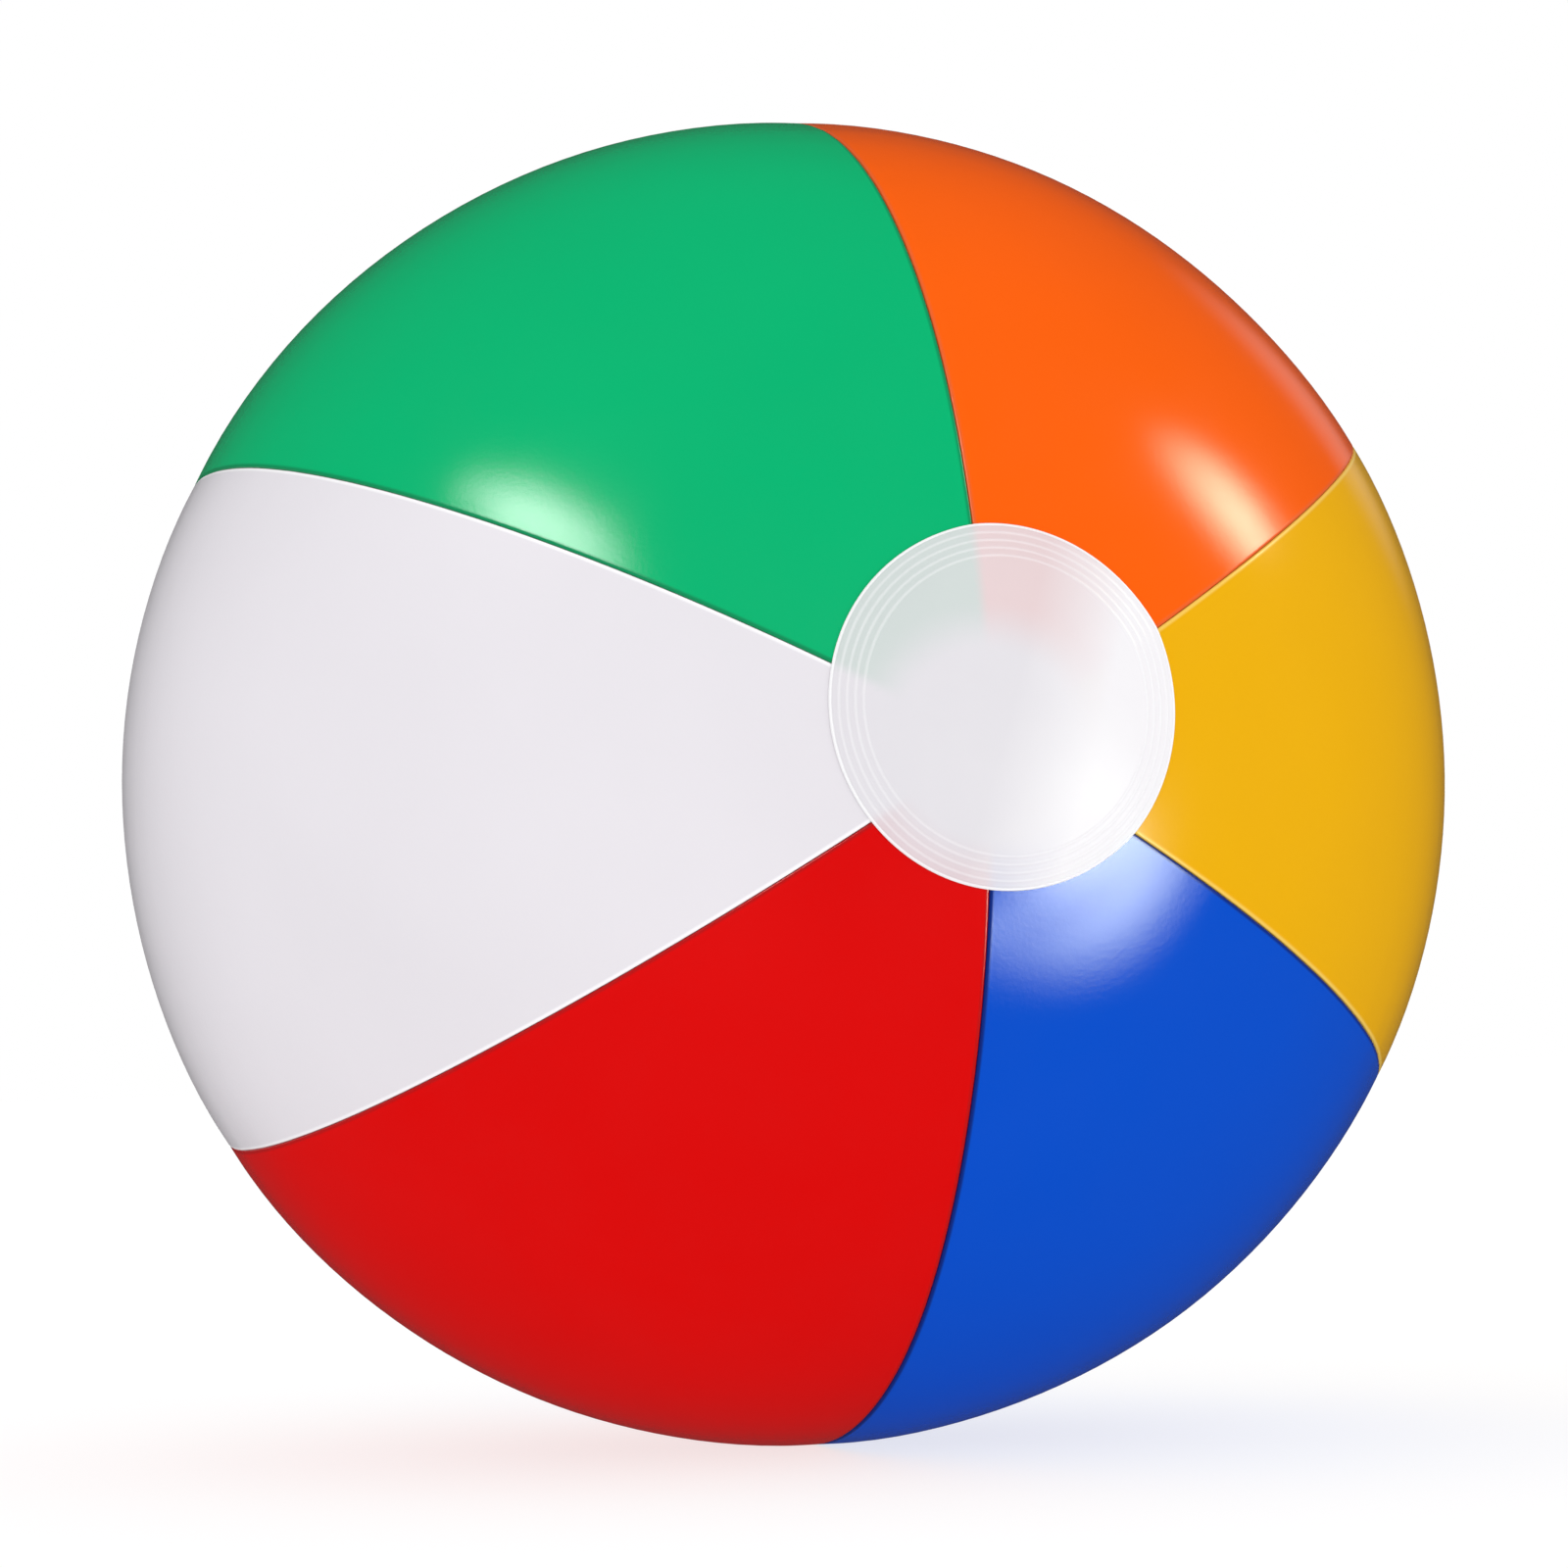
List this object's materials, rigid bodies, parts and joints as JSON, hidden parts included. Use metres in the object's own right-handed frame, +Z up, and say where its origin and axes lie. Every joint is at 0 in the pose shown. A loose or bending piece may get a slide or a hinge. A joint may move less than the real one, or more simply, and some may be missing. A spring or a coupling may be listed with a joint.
{
  "type": "inflatable beach ball",
  "caption": "Inflatable beach ball of coloured film panels with round film caps over both poles and a push-in inflation valve in the rear cap.",
  "frame": {"origin": "centre of the blown-up ball", "axes": "+Z up from the ground the ball lies on, +Y along the polar axis towards the valve, -Y towards the plain front cap"},
  "size_m": [0.3299, 0.334, 0.3294],
  "materials": {
    "green_film": "gloss",
    "white_film": "gloss",
    "red_film": "gloss",
    "blue_film": "gloss",
    "yellow_film": "gloss",
    "orange_film": "gloss",
    "cap_film": "gloss",
    "valve_pvc": "satin"
  },
  "bodies": {
    "ball": {"panel_green": "green_film", "panel_white": "white_film", "panel_red": "red_film", "panel_blue": "blue_film", "panel_yellow": "yellow_film", "panel_orange": "orange_film", "front_cap": "cap_film", "rear_cap": "cap_film", "valve_collar": "valve_pvc", "valve_skirt": "valve_pvc"},
    "stem": {"valve_stem": "valve_pvc"},
    "plug": {"valve_plug": "valve_pvc", "plug_strap": "valve_pvc"},
    "flap": {"check_flap": "valve_pvc"}
  },
  "joints": [
    {"name": "valve_slide", "type": "slide", "parent": "ball", "child": "stem", "axis": [0, 1, 0], "range_m": [0, 0.011]},
    {"name": "plug_hinge", "type": "hinge", "parent": "stem", "child": "plug", "pos_m": [0.008, 0.16695, 0], "axis": [0, 0, -1], "range_deg": [0, 150]},
    {"name": "flap_hinge", "type": "hinge", "parent": "stem", "child": "flap", "pos_m": [0.0044, 0.15365, 0], "axis": [0, 0, 1], "range_deg": [0, 60], "stiffness_Nm_per_rad": 0.0002}
  ]
}
